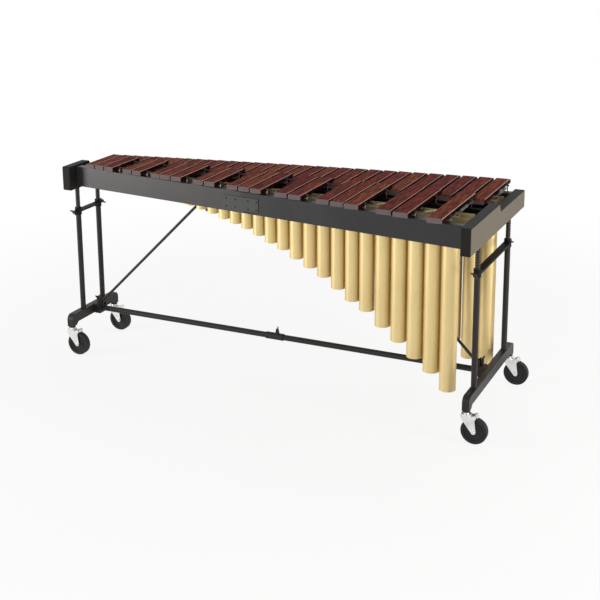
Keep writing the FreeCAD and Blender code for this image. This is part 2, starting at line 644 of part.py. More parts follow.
# ---------------------------------------------------------------- cord posts, cords and springs


def gaps(bars):
    """X of the gaps where posts stand: beside every bar, one post in a narrow gap."""
    places = []
    for previous, bar in zip([None] + bars, bars):
        left = bar[1] - bar[2] / 2
        if previous is None:
            places.append(left - 7)
        else:
            before = previous[1] + previous[2] / 2
            if left - before < 20:
                places.append((left + before) / 2)
            else:
                places += [before + 7, left - 7]
    places.append(bars[-1][1] + bars[-1][2] / 2 + 10)
    return places


def post(x, y, bottom, cord_z):
    """A pin with a slotted head that carries the cord."""
    pin, cord = size("pin_radius"), size("cord_radius")
    solid = Part.makeCylinder(pin, cord_z - 4 - bottom, Vector(x, y, bottom))
    head = Part.makeBox(4, 9, 11, Vector(x - 2, y - 4.5, cord_z - 4.5))
    slot = Part.makeBox(6, 2 * cord + 0.6, 12, Vector(x - 3, y - cord - 0.3, cord_z - cord - 0.3))
    return solid.fuse(head.cut(slot)).removeSplitter()


def cord_path(points, bend):
    """Straight runs joined by tangent arcs."""
    edges, start = [], points[0]
    for before, corner, after in zip(points, points[1:], points[2:]):
        way_in = (corner - before).normalize()
        way_out = (after - corner).normalize()
        half = way_in.getAngle(way_out) / 2
        trim = bend * math.tan(half)
        first, last = corner - way_in * trim, corner + way_out * trim
        to_centre = (way_out - way_in).normalize()
        middle = corner + to_centre * (bend / math.cos(half) - bend)
        edges += [Part.makeLine(start, first), Part.Arc(first, middle, last).toShape()]
        start = last
    edges.append(Part.makeLine(start, points[-1]))
    return Part.Wire(edges)


def cord_solid(name, points):
    """A round cord swept along its route."""
    radius = size("cord_radius")
    path = cord_path(points, size("cord_bend"))
    face = Part.Wire(Part.makeCircle(radius, points[0], points[1] - points[0]))
    solid = path.makePipeShell([face], True, False)
    expected = math.pi * radius ** 2 * path.Length
    print(f"{name}: length {path.Length:.0f} mm, volume / (section x length) {solid.Volume / expected:.4f}")
    return solid


springs = []
post_rows = {"raised": [], "natural": []}
for kind, bars, lines, top, front_bottom, rear_bottom in (
        ("raised", raised, raised_lines, size("bar_top_front"), size("rail_top_front"), size("inner_top_front")),
        ("natural", naturals, natural_lines, size("bar_top_rear"), size("rail_top_rear"), size("rail_top_rear"))):
    cord_z = top - size("bar_thick") / 2
    for ends, bottom in zip(lines, (front_bottom, rear_bottom)):
        post_rows[kind] += [post(x, line_y(ends, x), bottom, cord_z) for x in gaps(bars)]
    keep(f"{kind}_cord_posts", feature(f"{kind}_cord_posts", Part.makeCompound(post_rows[kind])))
    high_x = bars[0][1] - bars[0][2] / 2 - 18
    low_x = bars[-1][1] + bars[-1][2] / 2 + 18
    front, rear = lines
    low_front = Vector(low_x, line_y(front, low_x), cord_z)
    low_rear = Vector(low_x, line_y(rear, low_x), cord_z)
    gap_middle = (low_front + low_rear) / 2
    half_spring = Vector(0, 48, 0)
    route = [gap_middle - half_spring, low_front, Vector(high_x, line_y(front, high_x), cord_z),
             Vector(high_x, line_y(rear, high_x), cord_z), low_rear, gap_middle + half_spring]
    keep(f"{kind}_cord", feature(f"{kind}_cord", cord_solid(f"{kind} cord", route)))
    for sign in (-1, 1):
        start = gap_middle + Vector(0, 3 if sign > 0 else -48, 0)
        springs.append(Part.makeCylinder(size("spring_radius"), 45, start, Vector(0, 1, 0)))
    springs.append(Part.makeCylinder(size("cord_radius"), 6, gap_middle - Vector(0, 3, 0), Vector(0, 1, 0)))
keep("cord_springs", feature("cord_springs", Part.makeCompound(springs)))

# ---------------------------------------------------------------- resonators
# A tube hangs under every bar. The raised row is filled up with dummy tubes so that its line of tubes
# is unbroken. A tube is a quarter of its note's wavelength long, down to its closed end.


def frequency(note):
    return 440.0 * 2 ** ((note - 69) / 12)


def tube_radius(x):
    """Tubes widen evenly towards the low end, and the last few are all of the widest size."""
    diameter = size("tube_narrowest") + size("tube_widening") * across_from_high(x)
    return min(diameter, size("tube_widest")) / 2


# Tubes that are tuned a little longer than a quarter wave, by note, in mm.
LENGTHENED = {46: 12, 47: 39, 47.5: 5, 49: 12, 51: 22, 52.5: 15, 56: 18, 58: 20, 59.5: 8, 61: 5, 63: 9}


def bank_line(bars, low_shift):
    """The straight line of a bank's tubes, under the middles of its first and last bars."""
    first, last = bars[0], bars[-1]
    return [(first[1], (first[3] + first[4]) / 2), (last[1], (last[3] + last[4]) / 2 - low_shift)]


def raised_tubes():
    """The raised bars' tubes and the dummies between them, as (x, note), highest first."""
    tubes = []
    for previous, bar in zip([None] + raised, raised):
        if previous is not None and previous[0] - bar[0] > 2:
            tubes.append(((previous[1] + bar[1]) / 2, (previous[0] + bar[0]) / 2))
        tubes.append((bar[1], bar[0]))
    return tubes


def resonator(x, y, note, top):
    """A round tube and the flat stopper that closes its lower end."""
    radius, wall = tube_radius(x), size("tube_wall")
    length = size("quarter_wave") / frequency(note) + LENGTHENED.get(note, 0)
    bottom = top - length
    outer = Part.makeCylinder(radius, length, Vector(x, y, bottom))
    tube = outer.cut(Part.makeCylinder(radius - wall, length + 2, Vector(x, y, bottom - 1)))
    stopper = Part.makeCylinder(radius - wall, 3, Vector(x, y, bottom + 1.5))
    return [tube, stopper]


strips, rests = [], []
thick, height, gap = size("strip_thick"), size("strip_height"), size("strip_end_gap")
widest_from = value("leg_x_high + (tube_widest - tube_narrowest) / tube_widening")
for kind, tubes, line, top in (
        ("raised", raised_tubes(), bank_line(raised, 10), size("tube_top_front")),
        ("natural", [(b[1], b[0]) for b in naturals], bank_line(naturals, 5), size("tube_top_rear"))):
    halves = {"high": [], "low": []}
    for x, note in tubes:
        halves["high" if x < size("joint_x") else "low"] += resonator(x, line_y(line, x), note, top)
    for end, solids in halves.items():
        node = f"{kind}_resonators_{end}"
        keep(node, feature(node, Part.makeCompound(solids)))
    low = top - size("strip_drop")
    split = sum(min((x for x, note in tubes if (x < size("joint_x")) == left),
                    key=lambda x: abs(x - size("joint_x"))) for left in (True, False)) / 2
    for end in ENDS:
        x0 = size("block_inner_high") + gap if end == "high" else split + 1
        x1 = split - 1 if end == "high" else size("block_inner_low") - gap
        bends = [x0] + [x for x in (widest_from,) if x0 < x < x1] + [x1]
        for sign in (-1, 1):
            inner, outer = [[Vector(x, line_y(line, x) + sign * (tube_radius(x) * 1.004 + out), low)
                             for x in bends] for out in (0.3, 0.3 + thick)]
            outline = inner + outer[::-1]
            strips.append(Part.Face(Part.makePolygon(outline + outline[:1])).extrude(Vector(0, 0, height)))
        edge = x0 - gap if end == "high" else x1 - 10
        held = x0 if end == "high" else x1
        reach = tube_radius(held) + 1
        rests.append(Part.makeBox(gap + 10, 2 * reach, 8, Vector(edge, line_y(line, held) - reach, low - 8)))
keep("resonator_strips", feature("resonator_strips", Part.makeCompound(strips)))
keep("resonator_rests", feature("resonator_rests", Part.makeCompound(rests)))

# ---------------------------------------------------------------- checks and export

doc.recompute()
failed = [o.Name for o in doc.Objects if "Invalid" in o.State or "Error" in o.State]
assert not failed, f"failed objects: {failed}"
for node, thing in outputs.items():
    shape = thing.Shape
    assert not shape.isNull(), f"{node} is empty"
    assert shape.isValid(), f"{node} is not valid"
    assert shape.Solids, f"{node} has no solid"
whole = Part.makeCompound([thing.Shape for thing in outputs.values()]).BoundBox
for node, thing in outputs.items():
    thing.Shape.exportStep(f"parts/{node}.step")
print(len(outputs), "nodes,", sum(len(t.Shape.Solids) for t in outputs.values()), "solids")
print("box", [round(v, 1) for v in (whole.XMin, whole.XMax, whole.YMin, whole.YMax, whole.ZMin, whole.ZMax)])
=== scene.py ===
import math

import bpy
from mathutils import Euler, Matrix, Vector


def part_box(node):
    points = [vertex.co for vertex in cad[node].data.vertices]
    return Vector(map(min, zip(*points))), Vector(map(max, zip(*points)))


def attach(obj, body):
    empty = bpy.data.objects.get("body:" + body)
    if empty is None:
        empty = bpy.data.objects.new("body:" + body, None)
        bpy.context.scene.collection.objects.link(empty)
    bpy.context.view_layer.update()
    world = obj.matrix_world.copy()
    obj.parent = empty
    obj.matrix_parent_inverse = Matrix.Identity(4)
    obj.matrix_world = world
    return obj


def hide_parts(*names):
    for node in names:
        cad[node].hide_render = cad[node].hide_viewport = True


# A concert bar instrument, built up in the order in which it is put together on stage:
# first the place where it stands, then the wheeled stand, the frame, the tubes, the cords and the bars.

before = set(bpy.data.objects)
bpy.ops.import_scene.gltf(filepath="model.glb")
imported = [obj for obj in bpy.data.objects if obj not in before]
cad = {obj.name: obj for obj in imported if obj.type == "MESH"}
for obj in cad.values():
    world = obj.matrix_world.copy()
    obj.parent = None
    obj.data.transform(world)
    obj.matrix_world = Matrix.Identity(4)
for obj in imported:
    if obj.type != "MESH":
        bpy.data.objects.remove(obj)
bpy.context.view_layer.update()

# ---------------------------------------------------------------- camera, floor and lights
# A plain studio: one long lens above head height, a pale floor that keeps a soft shadow, and large
# soft lights at the left, the right, in front and above.

LOOK_DOWN, LOOK_LEFT, LEAN = 13.90, 24.95, -0.37        # degrees
view = Euler((math.radians(90 - LOOK_DOWN), 0, math.radians(LOOK_LEFT))).to_matrix().to_4x4()
view = view @ Matrix.Rotation(math.radians(LEAN), 4, "Z")
bpy.ops.object.camera_add(location=(2.2242, -4.6097, 2.1753), rotation=view.to_euler())
camera = bpy.context.object
camera.name = "studio_camera"
camera.data.sensor_width = 36
camera.data.lens = 71.5
camera.data.shift_y = -0.2
camera.data.clip_end = 100
bpy.context.scene.camera = camera

bpy.context.scene.view_settings.view_transform = "Standard"


def add(tree, kind, links=None, **settings):
    """Adds a node to a tree, with its settings, and gives its sockets values or links."""
    made = tree.nodes.new(kind)
    for name, setting in settings.items():
        setattr(made, name, setting)
    for socket, source in (links or {}).items():
        if isinstance(source, bpy.types.NodeSocket):
            tree.links.new(source, made.inputs[socket])
        else:
            made.inputs[socket].default_value = source
    return made


def paint(code, alpha=1.0):
    """A colour written as #rrggbb, as the renderer needs it."""
    parts = [int(code[i:i + 2], 16) / 255 for i in (1, 3, 5)]
    return tuple(p / 12.92 if p <= 0.04045 else ((p + 0.055) / 1.055) ** 2.4 for p in parts) + (alpha,)


def finish(name):
    """A new material with an empty Principled surface. Returns it, its node tree and that surface."""
    material = bpy.data.materials.new(name)
    material.use_nodes = True
    tree = material.node_tree
    return material, tree, tree.nodes["Principled BSDF"]


def seen_white(tree, *rays):
    """1 where a ray of one of these kinds sees the studio, so that it shows as white, and 0 elsewhere."""
    path = add(tree, "ShaderNodeLightPath")
    seen = path.outputs[rays[0]]
    for ray in rays[1:]:
        seen = add(tree, "ShaderNodeMath", {0: seen, 1: path.outputs[ray]}, operation="ADD",
                   use_clamp=True).outputs[0]
    return seen


# The floor is white paper: it takes a soft shadow near the instrument and shows plain white further off.
bpy.ops.object.select_all(action="DESELECT")
bpy.ops.mesh.primitive_plane_add(size=60, location=(0, 0, -0.0005))
floor = bpy.context.object
floor.name = "studio_floor"
floor_white, tree, surface = finish("studio floor")
surface.inputs["Base Color"].default_value = paint("#f4f4f4")
surface.inputs["Roughness"].default_value = 0.9
seen = seen_white(tree, "Is Camera Ray", "Is Glossy Ray")
white = add(tree, "ShaderNodeEmission", {"Color": (1, 1, 1, 1), "Strength": 1.0})
spot = add(tree, "ShaderNodeTexCoord").outputs["Object"]
away = add(tree, "ShaderNodeVectorMath", {0: spot}, operation="LENGTH")
reach = add(tree, "ShaderNodeMapRange", {"Value": away.outputs["Value"], "From Min": 1.3, "From Max": 3.4,
                                         "To Min": 0.86, "To Max": 1.0}, interpolation_type="SMOOTHSTEP")
share = add(tree, "ShaderNodeMath", {0: seen, 1: reach.outputs[0]}, operation="MULTIPLY")
both = add(tree, "ShaderNodeMixShader", {0: share.outputs[0], 1: surface.outputs[0], 2: white.outputs[0]})
tree.links.new(both.outputs[0], tree.nodes["Material Output"].inputs["Surface"])
floor.data.materials.append(floor_white)

world = bpy.data.worlds.new("studio")
bpy.context.scene.world = world
world.use_nodes = True
tree = world.node_tree
ground = tree.nodes["Background"]
seen = seen_white(tree, "Is Camera Ray", "Is Glossy Ray", "Is Transmission Ray")
strength = add(tree, "ShaderNodeMapRange", {"Value": seen, "To Min": 0.30, "To Max": 1.0})
ground.inputs["Color"].default_value = (1, 1, 1, 1)
tree.links.new(strength.outputs[0], ground.inputs["Strength"])

for name, place, aim, size, watts, tint in (
        ("key light, left", (-4.4, -3.2, 1.1), (0.0, 0.0, 0.55), (1.8, 2.2), 180, (1.0, 0.99, 0.98)),
        ("side light, right", (4.4, -0.6, 1.0), (0.9, 0.0, 0.6), (1.6, 1.6), 110, (1.0, 0.95, 0.88)),
        ("front light", (0.8, -4.8, 1.7), (0.4, -0.2, 0.6), (2.2, 1.4), 40, (1.0, 1.0, 1.0)),
        ("top light", (0.2, 1.6, 3.6), (0.0, 0.0, 0.8), (3.2, 1.2), 22, (1.0, 1.0, 1.0))):
    direction = Vector(aim) - Vector(place)
    turned = direction.to_track_quat("-Z", "Y").to_euler()
    bpy.ops.object.light_add(type="AREA", location=place, rotation=turned)
    lamp = bpy.context.object
    lamp.name = name
    lamp.data.shape = "RECTANGLE"
    lamp.data.size, lamp.data.size_y = size
    lamp.data.energy = watts
    lamp.data.color = tint

# ---------------------------------------------------------------- black steel of the stand
# Base beams, legs, cross links, crossbar and braces are steel, welded and then powder coated black.
# The baked powder gives a satin skin with a fine orange peel, a little duller in broad patches.


def powder_coat(name, shade, roughness, gloss=0.3, peel=900.0, lit_end_colours=None):
    """A satin coat on rounded edges, with peel bumps to a metre and broad, faint patches of 0.1 m.

    The last argument gives the outer end faces of a piece, which face away from the middle along x, two
    lighter colours of their own: painted light that falls on them from the side.
    """
    material, tree, surface = finish(name)
    place = add(tree, "ShaderNodeTexCoord").outputs["Object"]
    patches = add(tree, "ShaderNodeTexNoise", {"Vector": place, "Scale": 9.0, "Detail": 4.0})
    dark, light = paint(shade), tuple(min(1.0, c * 1.35 + 0.004) for c in paint(shade)[:3]) + (1.0,)
    mixed = add(tree, "ShaderNodeMix", {0: patches.outputs[0], 6: dark, 7: light}, data_type="RGBA")
    skin = add(tree, "ShaderNodeTexNoise", {"Vector": place, "Scale": peel, "Detail": 2.0})
    dull = add(tree, "ShaderNodeMapRange", {"Value": patches.outputs[0], "To Min": roughness - 0.05,
                                            "To Max": roughness + 0.08})
    edge = add(tree, "ShaderNodeBevel", {"Radius": 0.0008}, samples=3)
    bump = add(tree, "ShaderNodeBump", {"Strength": 0.12, "Distance": 0.0003, "Height": skin.outputs[0],
                                        "Normal": edge.outputs[0]})
    surface.inputs["Specular IOR Level"].default_value = gloss
    # Painted light: the outer end faces take lighter warm greys for the side light that falls on them.
    if lit_end_colours:
        facing = add(tree, "ShaderNodeSeparateXYZ", {0: add(tree, "ShaderNodeNewGeometry").outputs["Normal"]})
        half = add(tree, "ShaderNodeSeparateXYZ", {0: place})
        outward = add(tree, "ShaderNodeMath", {0: facing.outputs["X"], 1: half.outputs["X"]},
                      operation="MULTIPLY")
        on_end = add(tree, "ShaderNodeMapRange", {"Value": outward.outputs[0], "From Min": 0.75,
                                                  "From Max": 0.85})
        lit_end_mottle = add(tree, "ShaderNodeMix", {0: patches.outputs[0], 6: paint(lit_end_colours[0]),
                                             7: paint(lit_end_colours[1])}, data_type="RGBA")
        mixed = add(tree, "ShaderNodeMix", {0: on_end.outputs[0], 6: mixed.outputs[2],
                                            7: lit_end_mottle.outputs[2]}, data_type="RGBA")
    tree.links.new(mixed.outputs[2], surface.inputs["Base Color"])
    tree.links.new(dull.outputs[0], surface.inputs["Roughness"])
    tree.links.new(bump.outputs[0], surface.inputs["Normal"])
    return material


def cover(material, *nodes):
    """Gives CAD pieces a finish."""
    for node in nodes:
        mesh = cad[node].data
        mesh.materials.clear()
        mesh.materials.append(material)


ENDS = ("high", "low")
SIDES = ("front", "rear")
black_steel = powder_coat("black powder coat", "#242120", 0.42, 0.18)
cover(black_steel, *[f"{piece}_{end}" for piece in ("base_beam", "leg_tubes", "crossbar") for end in ENDS])
cover(black_steel, "crossbar_sleeve", "crossbar_brackets", "diagonal_braces", "brace_hangers",
      "resonator_rests", "brace_bolts")
# The flat cross links have a duller coat, so they stay black beside the gold tubes.
cover(powder_coat("black strip coat", "#141313", 0.5, 0.08), "cross_link_high", "cross_link_low")

# ---------------------------------------------------------------- height posts
# Turned steel posts that carry the keyboard. The grooves between their rings are painted near black,
# as painted shade, and the rings between them a lighter mottled grey.

RING_PITCH = 0.011
GROOVE_SHARE = 0.46                        # of a pitch, from a groove's start
FIRST_GROOVE = 0.012                       # above the posts' lower ends

ringed, tree, surface = finish("ringed black steel")
place = add(tree, "ShaderNodeTexCoord").outputs["Object"]
height = add(tree, "ShaderNodeSeparateXYZ", {0: place})
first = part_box("height_posts_low")[0].z + FIRST_GROOVE
turns = add(tree, "ShaderNodeMath", {0: height.outputs["Z"], 1: first}, operation="SUBTRACT")
turns = add(tree, "ShaderNodeMath", {0: turns.outputs[0], 1: RING_PITCH}, operation="DIVIDE")
along = add(tree, "ShaderNodeMath", {0: turns.outputs[0]}, operation="FRACT")
ridge = add(tree, "ShaderNodeMapRange", {"Value": along.outputs[0], "From Min": GROOVE_SHARE,
                                         "From Max": GROOVE_SHARE + 0.08})
ring_mottle = add(tree, "ShaderNodeTexNoise", {"Vector": place, "Scale": 260.0, "Detail": 3.0})
ring_grey_mix = add(tree, "ShaderNodeMix", {0: ring_mottle.outputs[0], 6: paint("#201d1b"), 7: paint("#4c4641")},
           data_type="RGBA")
# Painted shade: the grooves are near black; the rings between them are a lighter mottled grey.
tone = add(tree, "ShaderNodeMix", {0: ridge.outputs[0], 6: paint("#040404"), 7: ring_grey_mix.outputs[2]},
           data_type="RGBA")
surface.inputs["Roughness"].default_value = 0.4
surface.inputs["Specular IOR Level"].default_value = 0.3
tree.links.new(tone.outputs[2], surface.inputs["Base Color"])
cover(ringed, "height_posts_high", "height_posts_low")

# ---------------------------------------------------------------- casters
# Pressed steel forks on swivel heads and a brake lever on each, all zinc plated, and solid rubber
# wheels on dark moulded hubs. The plating is bright and cloudy, with a faint crystal pattern of 6 mm.

zinc, tree, surface = finish("zinc plate")
place = add(tree, "ShaderNodeTexCoord").outputs["Object"]
spangle = add(tree, "ShaderNodeTexVoronoi", {"Vector": place, "Scale": 160.0})
cloud = add(tree, "ShaderNodeTexNoise", {"Vector": place, "Scale": 45.0, "Detail": 5.0})
tone = add(tree, "ShaderNodeMix", {0: cloud.outputs[0], 6: paint("#c3c2bf"), 7: paint("#eeeeeb")},
           data_type="RGBA")
rough = add(tree, "ShaderNodeMapRange", {"Value": spangle.outputs["Distance"], "To Min": 0.26,
                                         "To Max": 0.40})
edge = add(tree, "ShaderNodeBevel", {"Radius": 0.0008}, samples=3)
bump = add(tree, "ShaderNodeBump", {"Strength": 0.1, "Distance": 0.0004, "Height": cloud.outputs[0],
                                    "Normal": edge.outputs[0]})
surface.inputs["Metallic"].default_value = 1.0
tree.links.new(tone.outputs[2], surface.inputs["Base Color"])
tree.links.new(rough.outputs[0], surface.inputs["Roughness"])
tree.links.new(bump.outputs[0], surface.inputs["Normal"])

RING_DEPTH = 0.0028                        # moulded ribs of the hub, standing in its dish
DISH_FLOOR = 0.0120
hub_black = powder_coat("moulded hub black", "#1b1c1d", 0.45, 0.3)

for end in ENDS:
    for side in SIDES:
        name = f"{end}_{side}"
        cover(zinc, f"caster_fork_{name}")
        cover(zinc, f"brake_lever_{name}")
        low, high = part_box(f"caster_wheel_{name}")
        centre = (low + high) / 2
        rubber, tree, surface = finish(f"wheel {end} {side}")
        place = add(tree, "ShaderNodeTexCoord").outputs["Object"]
        about = add(tree, "ShaderNodeMapping", {"Vector": place, "Location": -centre}, vector_type="POINT")
        # The tyre starts at 41 mm from the axle; it is duller and more scuffed than the hub inside it.
        parts = add(tree, "ShaderNodeSeparateXYZ", {0: about.outputs[0]})
        flat = add(tree, "ShaderNodeCombineXYZ", {"X": parts.outputs["X"], "Z": parts.outputs["Z"]})
        radius = add(tree, "ShaderNodeVectorMath", {0: flat.outputs[0]}, operation="LENGTH")
        tyre = add(tree, "ShaderNodeMapRange", {"Value": radius.outputs["Value"], "From Min": 0.0405,
                                                "From Max": 0.0415})
        scuff = add(tree, "ShaderNodeTexNoise", {"Vector": place, "Scale": 120.0, "Detail": 6.0})
        dust = add(tree, "ShaderNodeMix", {0: scuff.outputs[0], 6: paint("#0d0d0e"), 7: paint("#1a1a1a")},
                   data_type="RGBA")
        skin = add(tree, "ShaderNodeMix", {0: tyre.outputs[0], 6: paint("#141516"), 7: dust.outputs[2]},
                   data_type="RGBA")
        matt = add(tree, "ShaderNodeMapRange", {"Value": tyre.outputs[0], "To Min": 0.38, "To Max": 0.62})
        bump = add(tree, "ShaderNodeBump", {"Strength": 0.2, "Distance": 0.0004, "Height": scuff.outputs[0]})
        surface.inputs["Specular IOR Level"].default_value = 0.3
        tree.links.new(skin.outputs[2], surface.inputs["Base Color"])
        tree.links.new(matt.outputs[0], surface.inputs["Roughness"])
        tree.links.new(bump.outputs[0], surface.inputs["Normal"])
        cover(rubber, f"caster_wheel_{name}")
        # Three moulded ribs stand in the dish on each face: each is a bevelled strip turned on the axle.
        rings = []
        for face in (-1, 1):
            for ring_radius, ring_width in ((0.0105, 0.0070), (0.0235, 0.0030), (0.0345, 0.0030)):
                bpy.ops.object.select_all(action="DESELECT")
                bpy.ops.mesh.primitive_plane_add(size=1, location=(0, 0, 0))
                ring = bpy.context.object
                bpy.ops.object.mode_set(mode="EDIT")
                bpy.ops.mesh.select_all(action="SELECT")
                bpy.ops.transform.resize(value=(ring_width, RING_DEPTH, 1))
                bpy.ops.mesh.bevel(offset=0.0007, segments=2, affect="VERTICES")
                bpy.ops.mesh.delete(type="ONLY_FACE")
                bpy.ops.mesh.select_all(action="SELECT")
                bpy.ops.transform.translate(value=(ring_radius, 0, 0))
                bpy.ops.object.mode_set(mode="OBJECT")
                bpy.ops.object.modifier_add(type="SCREW")
                lathe = ring.modifiers[-1]
                lathe.axis = "Y"
                lathe.screw_offset = 0
                lathe.steps = lathe.render_steps = 40
                lathe.use_merge_vertices = True
                bpy.ops.object.modifier_apply(modifier=lathe.name)
                bpy.ops.object.mode_set(mode="EDIT")
                bpy.ops.mesh.select_all(action="SELECT")
                bpy.ops.mesh.remove_doubles(threshold=0.00002)
                bpy.ops.mesh.normals_make_consistent(inside=False)
                bpy.ops.transform.translate(value=centre + Vector((0, face * DISH_FLOOR, 0)))
                bpy.ops.object.mode_set(mode="OBJECT")
                rings.append(ring)
        for ring in rings:
            ring.select_set(True)
        bpy.ops.object.join()
        ribs = bpy.context.object
        ribs.name = f"wheel_ribs_{name}"
        bpy.ops.object.shade_smooth_by_angle(angle=math.radians(40))
        ribs.data.materials.clear()
        ribs.data.materials.append(hub_black)
        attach(ribs, f"wheel_{name}")

# ---------------------------------------------------------------- frame rails and end blocks
# Boards with rounded edges, sprayed in a charcoal satin lacquer with a faint warm cast. The low halves
# of the long rails are painted darker than the high ones as painted shade, and the end blocks' outer
# faces are painted a lighter warm grey as painted light.

# Lit and shaded copies of one lacquer: the high halves are painted lighter as a painted reflection, the low
# halves darker as painted shade.
rail_high_painted_lighter = powder_coat("charcoal lacquer, high half, painted lighter", "#2f2a2b", 0.36, 0.35, 1400.0)
rail_low_painted_shade = powder_coat("charcoal lacquer, low half, painted shade", "#201f20", 0.38, 0.30, 1400.0)
# The end blocks' outer faces get lighter warm greys: painted light.
block_grey = powder_coat("end block lacquer, outer faces painted light", "#201f1e", 0.52, 0.06, 1400.0, ("#635d53", "#70695e"))
plate_grey = powder_coat("joint plate coat", "#363733", 0.46, 0.3, 1100.0)
screw_black = powder_coat("blackened screw", "#161616", 0.4)
cover(rail_high_painted_lighter, "front_rail_high", "rear_rail_high")
cover(rail_low_painted_shade, "front_rail_low", "rear_rail_low")
cover(powder_coat("inner rail black", "#0a0a0a", 0.7, 0.04), "inner_rails")
cover(block_grey, "end_block_high", "end_block_low")
cover(plate_grey, "joint_plates")
cover(screw_black, "joint_screws", *[f"clamp_screw_{end}_{side}" for end in ENDS for side in SIDES])
cover(screw_black, "bracket_screw_high", "bracket_screw_low", "sleeve_screw")

# ---------------------------------------------------------------- resonators
# Thin-walled drawn aluminium tubes, each closed by a flat stopper, anodised in champagne gold: a satin
# metal shine with fine drawing lines along the tube, and a pale band at the rim, partly the bare cut edge
# and partly a painted highlight. Flat strips hold each bank.


def anodised(name, pale, deep, roughness, rim):
    """Gold anodised aluminium with drawing lines along z, and a pale band in the 4 mm under the rim: partly
    bare metal, partly a painted highlight.
    """
    material, tree, surface = finish(name)
    place = add(tree, "ShaderNodeTexCoord").outputs["Object"]
    # Real drawing lines are a few hundredths of a millimetre apart; these are 1.4 mm, so that they show.
    drawn = add(tree, "ShaderNodeMapping", {"Vector": place, "Scale": (700.0, 700.0, 12.0)})
    lines = add(tree, "ShaderNodeTexNoise", {"Vector": drawn.outputs[0], "Scale": 1.0, "Detail": 3.0})
    cloud = add(tree, "ShaderNodeTexNoise", {"Vector": place, "Scale": 5.0, "Detail": 2.0})
    blend = add(tree, "ShaderNodeMath", {0: lines.outputs[0], 1: cloud.outputs[0]}, operation="MULTIPLY")
    amount = add(tree, "ShaderNodeMapRange", {"Value": blend.outputs[0], "From Min": 0.1, "From Max": 0.42})
    tone = add(tree, "ShaderNodeMix", {0: amount.outputs[0], 6: paint(deep), 7: paint(pale)},
               data_type="RGBA")
    rough = add(tree, "ShaderNodeMapRange", {"Value": lines.outputs[0], "To Min": roughness - 0.05,
                                             "To Max": roughness + 0.07})
    bump = add(tree, "ShaderNodeBump", {"Strength": 0.04, "Distance": 0.0001, "Height": lines.outputs[0]})
    level = add(tree, "ShaderNodeSeparateXYZ", {0: place})
    # Painted highlight, partly real: the 4 mm under the rim are painted near white, for the bare cut edge and
    # for the light that catches the rim.
    bare = add(tree, "ShaderNodeMapRange", {"Value": level.outputs["Z"], "From Min": rim - 0.0045,
                                            "From Max": rim - 0.0040, "To Max": 0.85})
    whole = add(tree, "ShaderNodeMix", {0: bare.outputs[0], 6: tone.outputs[2], 7: paint("#f6f1e2")},
                data_type="RGBA")
    surface.inputs["Metallic"].default_value = 0.7
    surface.inputs["Specular IOR Level"].default_value = 0.2
    tree.links.new(whole.outputs[2], surface.inputs["Base Color"])
    tree.links.new(rough.outputs[0], surface.inputs["Roughness"])
    tree.links.new(bump.outputs[0], surface.inputs["Normal"])
    return material


for row in ("raised", "natural"):
    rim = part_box(f"{row}_resonators_low")[1].z
    cover(anodised(f"champagne gold tube, {row} row", "#dac58f", "#d0b984", 0.46, rim),
          f"{row}_resonators_high", f"{row}_resonators_low")
NO_RIM = 2.0                               # above everything
cover(anodised("bank strip gold", "#cbbd93", "#ad9c6e", 0.52, NO_RIM), "resonator_strips")

# ---------------------------------------------------------------- posts, cords and springs
# Bright steel pins stand in the rails, each with a dark slotted sleeve on top that carries the cord of
# twisted thread. At the low end the cord's two ends are joined by two closely wound springs and a link.

for row in ("raised", "natural"):
    low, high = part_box(f"{row}_cord_posts")
    pin, tree, surface = finish(f"{row} cord post")
    place = add(tree, "ShaderNodeTexCoord").outputs["Object"]
    height = add(tree, "ShaderNodeSeparateXYZ", {0: place})
    sleeve = add(tree, "ShaderNodeMapRange", {"Value": height.outputs["Z"], "From Min": high.z - 0.0118,
                                              "From Max": high.z - 0.0112})
    tone = add(tree, "ShaderNodeMix", {0: sleeve.outputs[0], 6: paint("#8d8b88"), 7: paint("#1e1e1e")},
               data_type="RGBA")
    bare = add(tree, "ShaderNodeMath", {0: 1.0, 1: sleeve.outputs[0]}, operation="SUBTRACT")
    rough = add(tree, "ShaderNodeMapRange", {"Value": sleeve.outputs[0], "To Min": 0.25, "To Max": 0.6})
    tree.links.new(tone.outputs[2], surface.inputs["Base Color"])
    tree.links.new(bare.outputs[0], surface.inputs["Metallic"])
    tree.links.new(rough.outputs[0], surface.inputs["Roughness"])
    cover(pin, f"{row}_cord_posts")

cord_thread, tree, surface = finish("twisted cord")
place = add(tree, "ShaderNodeTexCoord").outputs["Object"]
lay = add(tree, "ShaderNodeMapping", {"Vector": place, "Rotation": (0, 0, 0.7)})
twist = add(tree, "ShaderNodeTexWave", {"Vector": lay.outputs[0], "Scale": 90.0, "Distortion": 1.5})
# The cord is painted dark grey-brown: painted shade from the bars over it.
tone = add(tree, "ShaderNodeMix", {0: twist.outputs[1], 6: paint("#2b2724"), 7: paint("#5b534c")},
           data_type="RGBA")
bump = add(tree, "ShaderNodeBump", {"Strength": 0.5, "Distance": 0.0005, "Height": twist.outputs[1]})
surface.inputs["Roughness"].default_value = 0.8
tree.links.new(tone.outputs[2], surface.inputs["Base Color"])
tree.links.new(bump.outputs[0], surface.inputs["Normal"])
cover(cord_thread, "raised_cord", "natural_cord")

# A spring is a wire ring of six sides, wound along y; the link between two springs is an oval ring.
WIRE_RADIUS = 0.0009
SPRING_RADIUS = 0.006
SPRING_LENGTH = 0.045
LINK_HALF = 0.003
TURNS = 18

